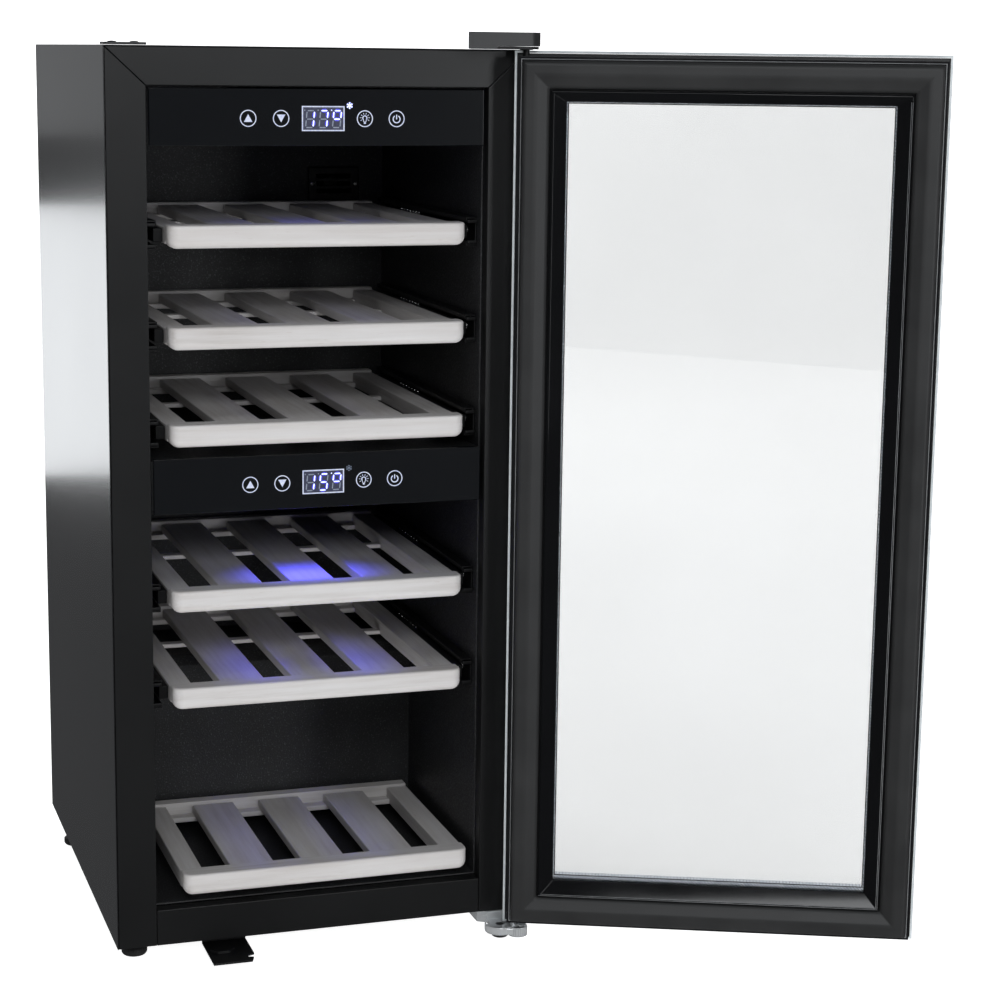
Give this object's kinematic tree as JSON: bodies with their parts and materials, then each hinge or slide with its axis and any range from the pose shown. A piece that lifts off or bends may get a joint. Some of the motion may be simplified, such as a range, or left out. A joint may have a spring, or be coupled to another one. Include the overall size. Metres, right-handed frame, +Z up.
{
  "type": "wine cooler",
  "caption": "Tall dual-zone wine cooler with a hinged glass door, pull-out wooden shelves, touch control fascias, fan grilles and levelling feet.",
  "frame": {"origin": "centre of the underside of the base pan; the levelling feet reach 21 mm lower", "axes": "+Z up, -Y out of the front, +X to the viewer's right, where the door is hinged"},
  "size_m": [0.7497, 0.6398, 0.8766],
  "materials": {
    "black_steel": "semi-gloss black paint",
    "satin_black": "satin",
    "liner_black": "fine grain",
    "gloss_black": "gloss",
    "fascia_glass": "gloss",
    "door_glass": "tempered, black printed border",
    "clear_glass": "clear",
    "rubber": "matte",
    "beech": "sanded beech",
    "zinc": "satin",
    "spacer_aluminium": "perforated",
    "diffuser": "frosted"
  },
  "bodies": {
    "cabinet": {"outer_shell": "black_steel", "base_pan": "black_steel", "rear_panel": "black_steel", "compressor_cover": "satin_black", "cable_gland": "rubber", "inner_liner": "liner_black", "frame_left": "satin_black", "frame_right": "satin_black", "frame_top": "satin_black", "frame_bottom": "satin_black", "upper_control_fascia": "fascia_glass", "lower_control_fascia": "fascia_glass", "control_box": "liner_black", "zone_divider": "liner_black", "upper_light_lens": "diffuser", "lower_light_lens": "diffuser", "upper_fan_grille": "satin_black", "lower_fan_grille": "satin_black", "slide_1_left": "black_steel", "slide_1_right": "black_steel", "slide_2_left": "black_steel", "slide_2_right": "black_steel", "slide_3_left": "black_steel", "slide_3_right": "black_steel", "slide_4_left": "black_steel", "slide_4_right": "black_steel", "slide_5_left": "black_steel", "slide_5_right": "black_steel", "top_hinge_bracket": "black_steel", "top_hinge_cover": "satin_black", "hinge_hole_cover": "satin_black", "bottom_hinge_bracket": "zinc", "lock_strike_plate": "black_steel", "compressor": "black_steel"},
    "door": {"outer_glass": "door_glass", "door_frame": "gloss_black", "glass_spacer": "spacer_aluminium", "inner_glass": "clear_glass", "door_gasket": "rubber", "door_bezel": "gloss_black", "door_handle": "zinc"},
    "shelf_1": {"shelf_1_front": "beech", "shelf_1_deck": "beech"},
    "shelf_2": {"shelf_2_front": "beech", "shelf_2_deck": "beech"},
    "shelf_3": {"shelf_3_front": "beech", "shelf_3_deck": "beech"},
    "shelf_4": {"shelf_4_front": "beech", "shelf_4_deck": "beech"},
    "shelf_5": {"shelf_5_front": "beech", "shelf_5_deck": "beech"},
    "shelf_6": {"shelf_6_front": "beech", "shelf_6_deck": "beech"},
    "front_left_foot_body": {"front_left_foot": "rubber"},
    "back_left_foot_body": {"back_left_foot": "rubber"},
    "back_right_foot_body": {"back_right_foot": "rubber"},
    "front_right_foot_body": {"front_right_foot": "rubber"},
    "upper_fan": {"upper_fan_rotor": "satin_black"},
    "lower_fan": {"lower_fan_rotor": "satin_black"}
  },
  "joints": [
    {"name": "door_hinge", "type": "hinge", "parent": "cabinet", "child": "door", "pos_m": [0.189, -0.2475, 0.4], "axis": [0, 0, 1], "range_deg": [-157, 15]},
    {"name": "shelf_1_slide", "type": "slide", "parent": "cabinet", "child": "shelf_1", "axis": [0, -1, 0], "range_m": [0, 0.26]},
    {"name": "shelf_2_slide", "type": "slide", "parent": "cabinet", "child": "shelf_2", "axis": [0, -1, 0], "range_m": [0, 0.26]},
    {"name": "shelf_3_slide", "type": "slide", "parent": "cabinet", "child": "shelf_3", "axis": [0, -1, 0], "range_m": [0, 0.26]},
    {"name": "shelf_4_slide", "type": "slide", "parent": "cabinet", "child": "shelf_4", "axis": [0, -1, 0], "range_m": [0, 0.26]},
    {"name": "shelf_5_slide", "type": "slide", "parent": "cabinet", "child": "shelf_5", "axis": [0, -1, 0], "range_m": [0, 0.26]},
    {"name": "shelf_6_slide", "type": "slide", "parent": "cabinet", "child": "shelf_6", "axis": [0, -1, 0], "range_m": [0, 0.15]},
    {"name": "upper_fan_spin", "type": "hinge", "parent": "cabinet", "child": "upper_fan", "pos_m": [0.104, 0.15, 0.697], "axis": [0, -1, 0], "continuous": true},
    {"name": "lower_fan_spin", "type": "hinge", "parent": "cabinet", "child": "lower_fan", "pos_m": [0.104, 0.15, 0.352], "axis": [0, -1, 0], "continuous": true},
    {"name": "front_left_foot_level", "type": "slide", "parent": "cabinet", "child": "front_left_foot_body", "axis": [0, 0, -1], "range_m": [0, 0.01]},
    {"name": "back_left_foot_level", "type": "slide", "parent": "cabinet", "child": "back_left_foot_body", "axis": [0, 0, -1], "range_m": [0, 0.01]},
    {"name": "back_right_foot_level", "type": "slide", "parent": "cabinet", "child": "back_right_foot_body", "axis": [0, 0, -1], "range_m": [0, 0.01]},
    {"name": "front_right_foot_level", "type": "slide", "parent": "cabinet", "child": "front_right_foot_body", "axis": [0, 0, -1], "range_m": [0, 0.01]}
  ]
}
